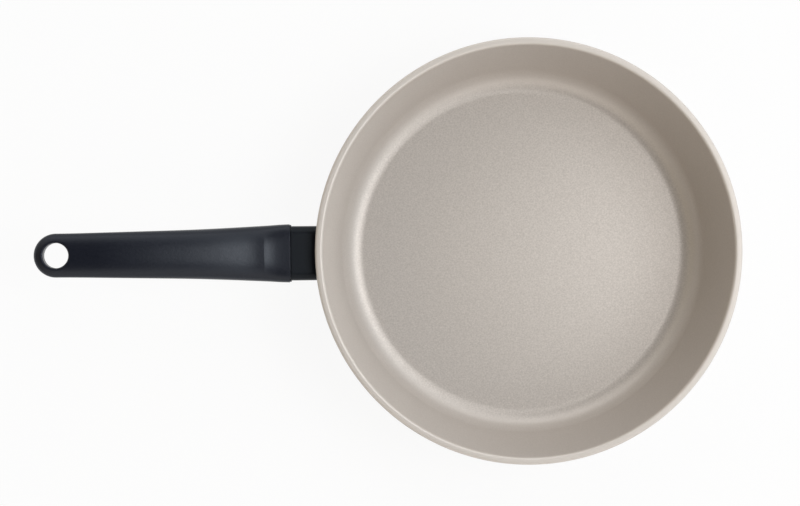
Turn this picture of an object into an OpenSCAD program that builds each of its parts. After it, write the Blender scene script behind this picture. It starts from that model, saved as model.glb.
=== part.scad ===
// Deep frying pan with a moulded stay-cool handle, in millimetres.
// Z is up. The origin is the middle of the face that the pan stands on.
// The handle points along minus X and rises a little towards its tail.

/* [Pan] */
// Outer diameter over the rim
pan_d = 286; // [270:1:310]
// Height of the rim above the surface that the pan stands on
pan_h = 66; // [60:1:80]
// Diameter of the flat cooking floor
floor_d = 222.8; // [205:0.2:232]
// Thickness of the bottom, from the standing face to the cooking floor
base_t = 5.5; // [4:0.1:8]
// Radius between the floor and the wall, inside
corner_r = 16.5; // [12:0.5:20]
// Radius between the underside and the wall, outside
outer_corner_r = 18; // [14:0.5:22]
// Thickness of the wall
wall_t = 4; // [3:0.1:5]
// Width of the rim, seen from above
rim_w = 5; // [4.5:0.1:6]
// Height of the upright band of the rim
rim_band = 3.6; // [3:0.1:6]
// Rounding of the rim's inner edge
rim_in_round = 1.6; // [0.8:0.1:2]
// Rounding of the rim's outer edge
rim_out_round = 1.8; // [1:0.1:2.2]
// Fall of the rim's top face towards its outer edge
rim_fall = 0.05; // [0:0.05:0.4]

/* [Induction disc] */
// Diameter of the steel disc in the bottom
disc_d = 196; // [180:1:210]
// Thickness of the disc
disc_t = 1; // [0.8:0.1:1.5]
// How far the disc stands proud of the cast bottom
disc_stand = 0.3; // [0.1:0.05:0.5]
// Diameter of the keying holes in the disc
key_d = 4; // [3:0.1:5]
// Distance from the disc's edge to the outermost ring of keying holes
key_edge = 12; // [8:0.5:14]
// Distance between two rings of keying holes
key_ring_step = 24; // [20:1:25]
// Number of rings of keying holes
key_rings = 3; // [2:1:3]
// Keying holes in the innermost ring; each further ring holds as many more
key_count = 12; // [6:1:12]

/* [Neck] */
// Distance of the neck's axis below the rim, at the wall
neck_drop = 18.5; // [17.5:0.5:24]
// Slope of the neck in degrees
neck_tilt = 8; // [5:0.5:11]
// Distance from the wall to the handle, along the neck
neck_len = 23.1; // [22.5:0.1:30]
// Width of the flame guard
guard_w = 36.8; // [36:0.1:38.5]
// Height of the flame guard
guard_h = 16; // [15.5:0.1:18]
// Thickness of the flame guard's sheet
guard_t = 1.5; // [1:0.1:1.8]
// Radius of the flame guard's corners
guard_r = 5.5; // [4:0.1:7]
// Distance from the wall to the flat face of the cast boss, along the neck
boss_len = 9.2; // [8:0.1:10]
// Width of the cast boss
boss_w = 32.6; // [31.5:0.1:33]
// Height of the cast boss
boss_h = 11.6; // [10.5:0.1:12]
// Radius of the boss's corners
boss_r = 3; // [2:0.1:4]

/* [Bracket] */
// Thickness of the bracket's steel
bracket_t = 3; // [2.5:0.1:3.5]
// Width of the tongue that carries the handle
tongue_w = 13; // [10:0.1:13.3]
// Distance from the collar at which the tongue ends, on the grip's middle line
tongue_reach = 52; // [50:1:60]
// Distance of each flange screw from the middle
screw_spread = 11.3; // [11:0.05:11.5]
// Diameter of the flange screws
screw_d = 5; // [4:0.5:5]
// Diameter of the flange screws' heads
screw_head_d = 8.4; // [7:0.1:8.5]
// Height of the flange screws' heads
screw_head_h = 3; // [2:0.1:3.2]
// Length of the flange screws, below the head
screw_len = 11.4; // [9:0.1:12]
// Diameter of the lock washers
washer_d = 8.8; // [8.5:0.1:9]
// Thickness of the lock washers
washer_t = 1; // [0.8:0.1:1.2]
// Gap where a lock washer is split
washer_split = 0.8; // [0.4:0.1:1.5]
// Hexagon socket of the screws, across its corners
socket_d = 4.2; // [3:0.1:4.4]
// Depth of the hexagon sockets
socket_depth = 1.8; // [1:0.1:2]

/* [Handle] */
// Length of the grip from its collar to the middle of its tail, on the level
grip_len = 150.1; // [140:0.1:170]
// Rise of the grip's middle line from its collar to its tail
grip_rise = 34; // [28:0.5:40]
// Width of the collar
collar_w = 39.4; // [38.5:0.1:42]
// Diameter of the round tail
tail_d = 28.8; // [27:0.1:32]
// Greatest height of the grip above its middle line
crown_h = 9.9; // [9.8:0.1:12]
// Greatest depth of the grip below its middle line
belly_h = 10.8; // [10.8:0.1:12]
// Thickness of the tail
tail_t = 12; // [10.5:0.1:13]
// Distance of the thumb rest's ridge from the collar
ridge_at = 18.2; // [14:0.1:22]
// Height of the ridge
ridge_h = 0.8; // [0.2:0.1:1.2]
// Width of the thumb rest
thumb_w = 32; // [24:0.5:34]
// Length of the thumb rest behind its ridge
thumb_len = 42; // [30:1:55]
// Diameter of the hanging hole
hang_d = 16.5; // [14:0.1:18]
// Rounding of the hanging hole's edges
hang_round = 1.4; // [1:0.1:2]
// Depth of the joint between the two shells, below the middle line
part_drop = 3; // [2.5:0.1:3.5]
// Length of the lower shell, from the collar
lower_len = 128; // [124:1:132]
// How far the lower shell stands proud of the collar, towards the pan
lip_len = 1.6; // [0.8:0.1:2]
// Depth of the spigot that enters the flame guard
spigot_len = 4.4; // [3:0.1:4.8]

/* [Handle screws] */
// Distance of the clamp screw from the end of the tongue
clamp_edge = 9; // [7:0.5:11]
// Diameter of the clamp screw
clamp_d = 5; // [4:0.5:5]
// Diameter of the clamp screw's head
clamp_head_d = 8.6; // [7:0.1:8.8]
// Height of the clamp screw's head
clamp_head_h = 2.4; // [2:0.1:2.6]
// Diameter of the clamp washer
clamp_washer_d = 9.6; // [9:0.1:10]
// Thickness of the clamp washer
clamp_washer_t = 1; // [0.8:0.1:1.2]
// Depth of the lower shell over the clamp washer, from the middle of the tongue
clamp_seat = 7; // [6:0.1:7.2]
// Outer diameter of the brass insert
insert_d = 7; // [6.5:0.1:7.5]
// Length of the brass insert
insert_len = 4.6; // [3:0.1:4.8]
// Distance of the tail screw from the collar
tail_screw_at = 114; // [108:1:117]
// Diameter of the tail screw
tail_screw_d = 4; // [3:0.1:4.2]
// Diameter of the tail screw's head
tail_head_d = 7; // [6:0.1:7.2]
// Height of the tail screw's head
tail_head_h = 2.2; // [1.5:0.1:2.4]
// Length of the tail screw, below the head
tail_screw_len = 9; // [7:0.1:9.5]
// Depth of the lower shell over the tail screw's head, from the middle line
tail_seat = 4.9; // [4.5:0.1:5.2]

/* [Fits] */
// Clearance between a thread and its hole, all round
thread_gap = 0.05; // [0.05:0.01:0.1]
// Clearance between pieces that slide together
slide_gap = 0.15; // [0.1:0.01:0.2]
// Clearance of a screw in a plain hole, all round
screw_gap = 0.2; // [0.15:0.01:0.3]
// Clearance between the flame guard and the wall
guard_gap = 0.3; // [0.2:0.05:0.5]
// Clearance between the flame guard and the handle's collar
collar_gap = 0.6; // [0.3:0.05:0.8]

/* [Hidden] */

// Overrun of every cut
over = 1;
// Half the stretch over which a slope is taken
probe = 0.05;
// Facets of round pieces, of the corner arcs and of one section of the grip
fine = 128;
round_fn = 48;
arc_steps = 10;
ring_points = 28;
tail_steps = 7;

pan_colour = [0.72, 0.69, 0.66];
handle_colour = [0.16, 0.17, 0.19];
guard_colour = [0.12, 0.12, 0.13];
steel_colour = [0.75, 0.76, 0.78];
brass_colour = [0.80, 0.66, 0.35];

// Centres of the arcs in the pan's section, as radius and height
corner_c = [floor_d / 2, base_t + corner_r];
rim_in_c = [pan_d / 2 - rim_w + rim_in_round, pan_h - rim_in_round];
rim_out_c = [pan_d / 2 - rim_out_round, pan_h - rim_fall - rim_out_round];

// The inner wall is the straight line that touches the corner arc and the rim's inner arc
wall_span = rim_in_c - corner_c;
wall_lean = acos((corner_r + rim_in_round) / norm(wall_span)) - atan2(wall_span[1], wall_span[0]);
wall_out = [cos(wall_lean), -sin(wall_lean)];
wall_top = rim_in_c - rim_in_round * wall_out;

// Radius of a surface that lies a given depth inside the wall, at a given height
function wall_radius(depth, height) =
    wall_top[0] + (depth + (height - wall_top[1]) * sin(wall_lean)) / cos(wall_lean);

outer_c = [
    wall_radius(wall_t - outer_corner_r, disc_stand + outer_corner_r),
    disc_stand + outer_corner_r
];
rim_low = pan_h - rim_band;
rim_step = pan_d / 2 - wall_radius(wall_t, rim_low);

// The neck starts on the outside of the wall
neck_z = pan_h - neck_drop;
neck_r = wall_radius(wall_t, neck_z);
collar_x = neck_r + neck_len * cos(neck_tilt);
collar_z = neck_z + neck_len * sin(neck_tilt);

flange_face = boss_len + bracket_t;
slot_w = tongue_w + 2 * slide_gap;
slot_top = bracket_t / 2 + slide_gap;

// Sections of the grip before its ridge, as shares of the ridge's distance, and behind it
front_shares = [0, 0.12, 0.27, 0.42, 0.56, 0.68, 0.79, 0.90];
back_shares = [0, 0.012, 0.03, 0.052, 0.08, 0.115, 0.16, 0.21, 0.27, 0.33, 0.40, 0.47, 0.54, 0.61,
    0.68, 0.75, 0.81, 0.87, 0.92, 0.96, 1];
// The middle line's rise, which leaves the collar at the neck's slope
start_share = 0.01;
rise_shares = [[0, 0], [start_share, start_share * grip_len * tan(neck_tilt) / grip_rise], [0.033, 0.021],
    [0.067, 0.046], [0.10, 0.074], [0.133, 0.109], [0.173, 0.158], [0.24, 0.247], [0.30, 0.330],
    [0.367, 0.422], [0.433, 0.511], [0.50, 0.597], [0.567, 0.678], [0.633, 0.751], [0.70, 0.818],
    [0.767, 0.875], [0.833, 0.923], [0.90, 0.961], [0.953, 0.984], [1, 1]];
// How much wider than the tail the grip is, as a share of what the collar has
width_shares = [[0, 1], [0.047, 0.955], [0.09, 0.86], [0.135, 0.793], [0.2245, 0.65], [0.313, 0.52],
    [0.40, 0.408], [0.486, 0.324], [0.663, 0.192], [0.84, 0.07], [0.95, 0.01], [1, 0]];
// Height of the top and depth of the underside, as shares from the tail's to the greatest
top_shares = [[0, 0.96], [0.027, 0.928], [0.053, 0.90], [0.08, 0.888], [0.121, 0.885], [0.173, 0.882],
    [0.227, 0.897], [0.28, 0.936], [0.32, 0.938], [0.368, 0.897], [0.432, 0.777], [0.513, 0.597],
    [0.60, 0.431], [0.683, 0.287], [0.766, 0.167], [0.853, 0.082], [0.92, 0.036], [1, 0]];
belly_shares = [[0, 0.92], [0.1, 0.96], [0.25, 1], [0.40, 0.97], [0.5, 0.90], [0.65, 0.68], [0.8, 0.34],
    [0.92, 0.08], [1, 0]];
// Height of the thumb rest in the middle of the grip, as shares of the ridge's height
ridge_shares = [[0, 0], [0.44, 0], [0.55, 0.02], [0.66, 0.10], [0.747, 0.227], [0.846, 0.453],
    [0.95, 0.82], [1, 1]];
thumb_shares = [[0, 1], [0.021, 0.91], [0.067, 0.69], [0.124, 0.42], [0.183, 0.225], [0.24, 0.12],
    [0.28, 0.095], [0.36, 0.15], [0.42, 0.19], [0.51, 0.205], [0.66, 0.15], [0.88, 0.02], [1, 0]];
// Squareness of the section above its middle line, and of the whole section below
square_shares = [[0, 4.6], [0.03, 4.4], [0.08, 3.6], [0.13, 3.1], [0.25, 2.9], [0.50, 2.6], [0.80, 2.4], [1, 2.4]];
belly_square_share = 2.4;

// A smooth curve through the points of a table
function table_row(table, i) = table[max(0, min(len(table) - 1, i))];
function table_slope(table, i) =
    (table_row(table, i + 1)[1] - table_row(table, i - 1)[1])
    / (table_row(table, i + 1)[0] - table_row(table, i - 1)[0]);
function table_find(table, at, i = 0) =
    i < len(table) - 2 && at > table[i + 1][0] ? table_find(table, at, i + 1) : i;
function table_mix(low, high, slope_low, slope_high, run, t) =
    low * (2 * t ^ 3 - 3 * t ^ 2 + 1) + slope_low * run * (t ^ 3 - 2 * t ^ 2 + t)
    + high * (3 * t ^ 2 - 2 * t ^ 3) + slope_high * run * (t ^ 3 - t ^ 2);
function table_at(table, at) =
    let (i = table_find(table, at))
    let (run = table[i + 1][0] - table[i][0])
    let (t = max(0, min(1, (at - table[i][0]) / run)))
    table_mix(table[i][1], table[i + 1][1], table_slope(table, i), table_slope(table, i + 1), run, t);

// The grip's middle line, s being the level distance from the collar; before the collar it follows the neck
function grip_share(s) = max(0, min(1, s / grip_len));
function grip_x(s) = collar_x + (s < 0 ? s * cos(neck_tilt) : s);
function grip_z(s) =
    collar_z + (s < 0 ? s * sin(neck_tilt) : grip_rise * table_at(rise_shares, grip_share(s)));
function grip_tilt(s) =
    let (from = max(0, min(s, grip_len) - probe), to = min(grip_len, max(s, 0) + probe))
    s <= 0 ? neck_tilt : atan2(grip_z(to) - grip_z(from), to - from);
function grip_side(s, rise) =
    let (tilt = grip_tilt(s))
    [grip_x(s) - rise * sin(tilt), grip_z(s) + rise * cos(tilt)];
function grip_half(s) = (tail_d + (collar_w - tail_d) * table_at(width_shares, grip_share(s))) / 2;
function grip_top(s) = tail_t / 2 + (crown_h - tail_t / 2) * table_at(top_shares, grip_share(s));
function grip_belly(s) = tail_t / 2 + (belly_h - tail_t / 2) * table_at(belly_shares, grip_share(s));

// The thumb rest, which swells and dips in the middle of the grip's top
function thumb_middle(s) = ridge_h * (
    s < ridge_at
    ? table_at(ridge_shares, max(0, s) / ridge_at)
    : table_at(thumb_shares, min(1, (s - ridge_at) / thumb_len))
);
function thumb_rise(s, y) = thumb_middle(s) * (1 - min(1, (2 * y / thumb_w) ^ 2)) ^ 2;

// One section of the grip, as pairs of sideways place and height
function signed_power(value, power) = sign(value) * abs(value) ^ power;
function ring_pair(s, angle) =
    let (above = sin(angle) >= 0)
    let (power = 2 / (above ? table_at(square_shares, grip_share(s)) : belly_square_share))
    let (y = grip_half(s) * signed_power(cos(angle), power))
    let (share = abs(sin(angle)) ^ power)
    [y, above ? grip_top(s) * share + thumb_rise(s, y) : -grip_belly(s) * share];

// The tongue leaves the middle of the flange and ends on the grip's middle line
flange_at = [neck_r + flange_face * cos(neck_tilt), neck_z + flange_face * sin(neck_tilt)];
tongue_span = grip_side(tongue_reach, 0) - flange_at;
tongue_tilt = atan2(tongue_span[1], tongue_span[0]);
tongue_len = norm(tongue_span);
clamp_at = tongue_len - clamp_edge;

function arc_points(centre, radius, from, to) =
    [for (i = [0:arc_steps])
        let (a = from + (to - from) * i / arc_steps)
        centre + radius * [cos(a), sin(a)]];

module handle_side() {
    rotate([0, 0, 180])
        children();
}

// X runs out along the neck from the wall, Z stands square on the neck
module neck_frame() {
    handle_side()
        translate([neck_r, 0, neck_z])
            rotate([0, -neck_tilt, 0])
                children();
}

// X runs along the tongue from the flange, Z stands square on the tongue
module tongue_frame() {
    handle_side()
        translate([flange_at[0], 0, flange_at[1]])
            rotate([0, -tongue_tilt, 0])
                children();
}

// The same for a place on the grip
module grip_frame(s) {
    handle_side()
        translate([grip_x(s), 0, grip_z(s)])
            rotate([0, -grip_tilt(s), 0])
                children();
}

// A bar with rounded corners, from one place on X to another
module rounded_bar(from, to, width, height, radius) {
    translate([from, 0, 0])
        rotate([90, 0, 90])
            linear_extrude(to - from)
                union() {
                    square([width - 2 * radius, height], center = true);
                    square([width, height - 2 * radius], center = true);
                    for (x = [-1, 1], y = [-1, 1])
                        translate([x * (width / 2 - radius), y * (height / 2 - radius)])
                            circle(r = radius, $fn = round_fn);
                }
}

// A cylinder that lies along X
module lying_cylinder(from, to, diameter, facets = round_fn) {
    translate([from, 0, 0])
        rotate([0, 90, 0])
            cylinder(d = diameter, h = to - from, $fn = facets);
}

// A cylinder that stands along Z
module standing_cylinder(from, to, diameter, facets = round_fn) {
    translate([0, 0, from])
        cylinder(d = diameter, h = to - from, $fn = facets);
}

module key_holes(from, to, diameter) {
    for (ring = [0:key_rings - 1], i = [0:key_count * (ring + 1) - 1])
        rotate([0, 0, 360 * i / (key_count * (ring + 1))])
            translate([disc_d / 2 - key_edge - (key_rings - 1 - ring) * key_ring_step, 0, 0])
                standing_cylinder(from, to, diameter);
}

// A cone along the wall, at a given depth inside it
module wall_cone(depth) {
    low = outer_c[1];
    rotate_extrude($fn = fine)
        polygon([
            [0, low],
            [wall_radius(depth, low), low],
            [wall_radius(depth, pan_h), pan_h],
            [0, pan_h]
        ]);
}

module pan_shell() {
    seat_r = disc_d / 2 + thread_gap;
    rotate_extrude($fn = fine)
        polygon(concat(
            [[0, base_t]],
            arc_points(corner_c, corner_r, -90, -wall_lean),
            arc_points(rim_in_c, rim_in_round, 180 - wall_lean, 90),
            arc_points(rim_out_c, rim_out_round, 90, 0),
            [
                [pan_d / 2, rim_low],
                [wall_radius(wall_t, rim_low - rim_step), rim_low - rim_step]
            ],
            arc_points(outer_c, outer_corner_r, -wall_lean, -90),
            [[seat_r, disc_stand], [seat_r, disc_t], [0, disc_t]]
        ));
}

module pan_body() {
    color(pan_colour)
        union() {
            pan_shell();
            // The pips that the disc's holes bite into
            key_holes(disc_stand / 2, disc_t + over, key_d - 2 * thread_gap);
            difference() {
                neck_frame()
                    rounded_bar(-boss_h, boss_len, boss_w, boss_h, boss_r);
                wall_cone(wall_t / 2);
                neck_frame()
                    for (side = [-1, 1])
                        translate([0, side * screw_spread, 0])
                            lying_cylinder(
                                flange_face + washer_t - screw_len - thread_gap,
                                boss_len + over,
                                screw_d + 2 * thread_gap
                            );
            }
        }
}

module induction_disc() {
    color(steel_colour)
        difference() {
            standing_cylinder(0, disc_t, disc_d, fine);
            key_holes(-over, disc_t + over, key_d);
        }
}

module handle_bracket() {
    hole_d = screw_d + 2 * screw_gap;
    color(steel_colour)
        difference() {
            union() {
                neck_frame()
                    rounded_bar(boss_len, flange_face, boss_w, boss_h, boss_r);
                tongue_frame()
                    translate([-bracket_t / 2, -tongue_w / 2, -bracket_t / 2])
                        cube([tongue_len + bracket_t / 2, tongue_w, bracket_t]);
            }
            neck_frame()
                for (side = [-1, 1])
                    translate([0, side * screw_spread, 0])
                        lying_cylinder(boss_len - over, flange_face + over, hole_d);
            tongue_frame()
                translate([clamp_at, 0, 0])
                    standing_cylinder(-bracket_t, bracket_t, clamp_d + 2 * screw_gap);
        }
}

module bracket_screw(side) {
    seat = flange_face + washer_t;
    color(steel_colour)
        neck_frame()
            translate([0, side * screw_spread, 0])
                difference() {
                    union() {
                        lying_cylinder(seat - screw_len, seat + over, screw_d);
                        lying_cylinder(seat, seat + screw_head_h, screw_head_d);
                    }
                    lying_cylinder(
                        seat + screw_head_h - socket_depth, seat + screw_head_h + over, socket_d, 6
                    );
                }
}

module lock_washer(side) {
    color(steel_colour)
        neck_frame()
            translate([0, side * screw_spread, 0])
                difference() {
                    lying_cylinder(flange_face, flange_face + washer_t, washer_d);
                    lying_cylinder(
                        flange_face - over, flange_face + washer_t + over, screw_d + 2 * screw_gap
                    );
                    translate([flange_face - over, -washer_split / 2, 0])
                        cube([washer_t + 2 * over, washer_split, washer_d]);
                }
}

// Seen along the handle towards the pan, left is plus Y
module bracket_screw_left() {
    bracket_screw(-1);
}

module bracket_screw_right() {
    bracket_screw(1);
}

module lock_washer_left() {
    lock_washer(-1);
}

module lock_washer_right() {
    lock_washer(1);
}

module flame_guard() {
    inner_w = guard_w - 2 * guard_t;
    inner_h = guard_h - 2 * guard_t;
    color(guard_colour)
        difference() {
            neck_frame()
                difference() {
                    rounded_bar(-guard_h, neck_len - collar_gap, guard_w, guard_h, guard_r);
                    rounded_bar(-guard_h - over, neck_len + over, inner_w, inner_h, guard_r - guard_t);
                }
            wall_cone(wall_t + guard_gap);
        }
}

// The whole outside of the grip, before it is split into its two shells
module grip_solid() {
    places = concat(
        [-lip_len],
        [for (share = front_shares) share * ridge_at],
        [for (share = back_shares) ridge_at + share * (grip_len - ridge_at)]
    );
    tail_tilt = grip_tilt(grip_len);
    last = len(places) - 1;
    quarter = ring_points / 4;
    angles = [for (k = [0:ring_points - 1]) 360 * k / ring_points];
    grip_rings = [for (s = places, a = angles)
        let (pair = ring_pair(s, a))
        let (side = grip_side(s, pair[1]))
        [side[0], pair[0], side[1]]];
    // The tail is the last section turned about the middle of the tail
    tail_rings = [for (j = [1:tail_steps], a = angles)
        let (pair = ring_pair(grip_len, a))
        let (side = grip_side(grip_len, pair[1]))
        let (reach = abs(pair[0]) * sin(90 * j / tail_steps))
        let (y = pair[0] * cos(90 * j / tail_steps))
        [side[0] + reach * cos(tail_tilt), y, side[1] + reach * sin(tail_tilt)]];
    // Points that fall together share one number
    function folded(k) = k > quarter && k < 3 * quarter ? (2 * quarter - k + ring_points) % ring_points : k;
    function point_number(ring, k) =
        ring > last && (k == quarter || k == 3 * quarter) ? last * ring_points + k
        : ring == last + tail_steps ? ring * ring_points + folded(k)
        : ring * ring_points + k;
    function distinct(f) = f[0] != f[1] && f[1] != f[2] && f[2] != f[0];
    sides = [for (ring = [0:last + tail_steps - 1], k = [0:ring_points - 1])
        let (next = (k + 1) % ring_points)
        let (a = point_number(ring, k), b = point_number(ring, next))
        let (c = point_number(ring + 1, next), d = point_number(ring + 1, k))
        for (f = [[a, d, c], [a, c, b]])
            if (distinct(f)) f];
    front = [for (k = [1:ring_points - 2]) [0, k, k + 1]];
    polyhedron(points = concat(grip_rings, tail_rings), faces = concat(sides, front));
}

// All that lies below the joint of the two shells, from one place to another
module below_joint(from, to, gap) {
    rise = gap - part_drop;
    joint = [for (i = [0:2 * arc_steps]) grip_side(from + (to - from) * i / (2 * arc_steps), rise)];
    floor_rise = -2 * belly_h;
    rotate([90, 0, 0])
        linear_extrude(2 * collar_w, center = true)
            polygon(concat(joint, [grip_side(to, floor_rise), grip_side(from, floor_rise)]));
}

// All that lies before the collar
module before_collar() {
    rotate([90, 0, 0])
        linear_extrude(2 * collar_w, center = true)
            polygon([
                grip_side(0, 2 * crown_h),
                grip_side(0, -2 * belly_h),
                grip_side(-2 * lip_len, -2 * belly_h),
                grip_side(-2 * lip_len, 2 * crown_h)
            ]);
}

// The hanging hole with its rounded edges, square on the tail
module hanging_hole() {
    half = hang_edge();
    straight = half - hang_round;
    grip_frame(grip_len)
        rotate_extrude($fn = fine)
            polygon(concat(
                [[0, -2 * tail_t], [hang_d / 2 + hang_round, -2 * tail_t]],
                [[hang_d / 2 + hang_round, -half]],
                arc_points([hang_d / 2 + hang_round, -straight], hang_round, 270, 180),
                arc_points([hang_d / 2 + hang_round, straight], hang_round, 180, 90),
                [[hang_d / 2 + hang_round, 2 * tail_t], [0, 2 * tail_t]]
            ));
}

// Height at which the tail's face meets the hole, above its middle line
function hang_edge() =
    let (square = table_at(square_shares, 1))
    tail_t / 2 * (1 - (hang_d / tail_d) ^ square) ^ (1 / square);

module handle_upper() {
    spigot_w = guard_w - 2 * guard_t - 2 * slide_gap;
    spigot_h = guard_h - 2 * guard_t - 2 * slide_gap;
    color(handle_colour)
        difference() {
            union() {
                handle_side()
                    difference() {
                        grip_solid();
                        before_collar();
                        below_joint(-2 * lip_len, lower_len + slide_gap, slide_gap);
                    }
                neck_frame()
                    difference() {
                        rounded_bar(
                            neck_len - spigot_len, neck_len + over, spigot_w, spigot_h,
                            guard_r - guard_t - slide_gap
                        );
                        translate([neck_len, -collar_w, -belly_h - part_drop + slide_gap])
                            cube([2 * over, 2 * collar_w, belly_h]);
                    }
            }
            // Slot for the tongue, open towards the lower shell
            intersection() {
                tongue_frame()
                    translate([0, -slot_w / 2, -2 * belly_h])
                        cube([tongue_len + slide_gap, slot_w, 2 * belly_h + slot_top]);
                neck_frame()
                    translate([neck_len, -slot_w, -2 * grip_rise])
                        cube([2 * tongue_reach, 2 * slot_w, 4 * grip_rise]);
            }
            // Window for the tongue in the spigot
            tongue_frame()
                translate([0, -slot_w / 2, -slot_top])
                    cube([tongue_len / 2, slot_w, 2 * slot_top]);
            tongue_frame()
                translate([clamp_at, 0, 0])
                    standing_cylinder(0, slot_top + insert_len + slide_gap, insert_d + 2 * thread_gap);
            grip_frame(tail_screw_at)
                standing_cylinder(
                    -tail_seat, tail_screw_len - tail_seat + over, tail_screw_d + 2 * thread_gap
                );
            hanging_hole();
        }
}

module handle_lower() {
    land_w = slot_w - 2 * slide_gap;
    land_top = -bracket_t / 2 - slide_gap;
    color(handle_colour)
        difference() {
            union() {
                handle_side()
                    intersection() {
                        grip_solid();
                        below_joint(-2 * lip_len, lower_len, 0);
                    }
                // The land that carries the tongue
                intersection() {
                    tongue_frame()
                        translate([0, -land_w / 2, -part_drop - 2 * bracket_t])
                            cube([tongue_len, land_w, part_drop + 2 * bracket_t + land_top]);
                    neck_frame()
                        translate([neck_len + slide_gap, -slot_w, -2 * grip_rise])
                            cube([2 * tongue_reach, 2 * slot_w, 4 * grip_rise]);
                }
            }
            // Room for the spigot's guard, before the collar
            neck_frame()
                rounded_bar(neck_len - 2 * lip_len - over, neck_len, guard_w + 2 * slide_gap,
                    guard_h + 2 * slide_gap, guard_r + slide_gap);
            tongue_frame()
                translate([clamp_at, 0, 0]) {
                    standing_cylinder(-2 * belly_h, over, clamp_d + 2 * screw_gap);
                    standing_cylinder(-2 * belly_h, -clamp_seat, clamp_washer_d + 2 * screw_gap);
                }
            grip_frame(tail_screw_at) {
                standing_cylinder(-2 * belly_h, over, tail_screw_d + 2 * screw_gap);
                standing_cylinder(-2 * belly_h, -tail_seat, tail_head_d + 2 * screw_gap);
            }
        }
}

// A screw that stands on its head, its head's upper face at the given height
module cap_screw(seat, shank_d, length, head_d, head_h) {
    difference() {
        union() {
            standing_cylinder(seat - over, seat + length, shank_d);
            standing_cylinder(seat - head_h, seat, head_d);
        }
        standing_cylinder(seat - head_h - over, seat - head_h + socket_depth, socket_d, 6);
    }
}

module clamp_screw() {
    seat = -clamp_seat - clamp_washer_t;
    color(steel_colour)
        tongue_frame()
            translate([clamp_at, 0, 0])
                cap_screw(seat, clamp_d, slot_top + insert_len - seat, clamp_head_d, clamp_head_h);
}

module clamp_washer() {
    color(steel_colour)
        tongue_frame()
            translate([clamp_at, 0, 0])
                difference() {
                    standing_cylinder(-clamp_seat - clamp_washer_t, -clamp_seat, clamp_washer_d);
                    standing_cylinder(-clamp_seat - clamp_washer_t - over, over, clamp_d + 2 * screw_gap);
                }
}

module clamp_insert() {
    color(brass_colour)
        tongue_frame()
            translate([clamp_at, 0, 0])
                difference() {
                    standing_cylinder(slot_top, slot_top + insert_len, insert_d);
                    standing_cylinder(
                        slot_top - over, slot_top + insert_len + over, clamp_d + 2 * thread_gap
                    );
                }
}

module tail_screw() {
    color(steel_colour)
        grip_frame(tail_screw_at)
            cap_screw(-tail_seat, tail_screw_d, tail_screw_len, tail_head_d, tail_head_h);
}

pan_body();
induction_disc();
handle_bracket();
bracket_screw_left();
bracket_screw_right();
lock_washer_left();
lock_washer_right();
flame_guard();
handle_upper();
handle_lower();
clamp_screw();
clamp_washer();
clamp_insert();
tail_screw();
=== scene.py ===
"""Looks of a deep frying pan with a moulded handle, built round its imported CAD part."""

import math

import bmesh
import bpy
import numpy as np
from mathutils import Matrix, Vector


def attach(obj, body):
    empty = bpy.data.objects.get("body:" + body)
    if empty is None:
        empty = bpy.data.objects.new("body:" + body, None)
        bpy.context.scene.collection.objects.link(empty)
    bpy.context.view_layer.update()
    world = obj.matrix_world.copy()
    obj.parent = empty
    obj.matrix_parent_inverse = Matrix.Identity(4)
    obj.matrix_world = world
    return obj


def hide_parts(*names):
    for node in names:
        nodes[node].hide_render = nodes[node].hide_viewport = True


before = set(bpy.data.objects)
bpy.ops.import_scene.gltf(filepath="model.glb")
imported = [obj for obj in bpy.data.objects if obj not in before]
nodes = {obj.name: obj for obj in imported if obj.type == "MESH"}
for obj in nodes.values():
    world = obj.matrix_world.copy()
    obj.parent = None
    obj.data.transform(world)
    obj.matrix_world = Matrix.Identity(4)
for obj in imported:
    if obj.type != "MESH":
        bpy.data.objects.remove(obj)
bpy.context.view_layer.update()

# Sizes in millimetres, the same as the CAD part's
PAN_D, PAN_H, FLOOR_D, BASE_T = 286.0, 66.0, 222.8, 5.5
CORNER_R, OUTER_CORNER_R, WALL_T = 16.5, 18.0, 4.0
RIM_W, RIM_BAND, RIM_IN_ROUND, RIM_OUT_ROUND, RIM_FALL = 5.0, 3.6, 1.6, 1.8, 0.05
DISC_D, DISC_T, DISC_STAND = 196.0, 1.0, 0.3
KEY_D, KEY_EDGE, KEY_RING_STEP, KEY_RINGS, KEY_COUNT = 4.0, 12.0, 24.0, 3, 12
NECK_DROP, NECK_TILT, NECK_LEN = 18.5, math.radians(8.0), 23.1
GUARD_W, GUARD_H, GUARD_T, GUARD_R = 36.8, 16.0, 1.5, 5.5
BOSS_LEN, BOSS_W, BOSS_H, BOSS_R = 9.2, 32.6, 11.6, 3.0
BRACKET_T, TONGUE_W, TONGUE_REACH = 3.0, 13.0, 52.0
SCREW_SPREAD, SCREW_D, SCREW_LEN, WASHER_T = 11.3, 5.0, 11.4, 1.0
GRIP_LEN, GRIP_RISE, COLLAR_W, TAIL_D = 150.1, 34.0, 39.4, 28.8
CROWN_H, BELLY_H, TAIL_T = 9.9, 10.8, 12.0
RIDGE_AT, RIDGE_H, THUMB_W, THUMB_LEN = 18.2, 0.8, 32.0, 42.0
HANG_D, HANG_ROUND = 16.5, 1.4
PART_DROP, LOWER_LEN, LIP_LEN, SPIGOT_LEN = 3.0, 128.0, 1.6, 4.4
CLAMP_EDGE, CLAMP_D, CLAMP_WASHER_D, CLAMP_SEAT = 9.0, 5.0, 9.6, 7.0
INSERT_D, INSERT_LEN = 7.0, 4.6
TAIL_SCREW_AT, TAIL_SCREW_D, TAIL_HEAD_D = 114.0, 4.0, 7.0
TAIL_SCREW_LEN, TAIL_SEAT = 9.0, 4.9
THREAD_GAP, SLIDE_GAP, SCREW_GAP = 0.05, 0.15, 0.2
# How far a cut runs on, and how much smaller one is that would else share a face with another
OVER, HAIR = 1.0, 0.01
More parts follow.
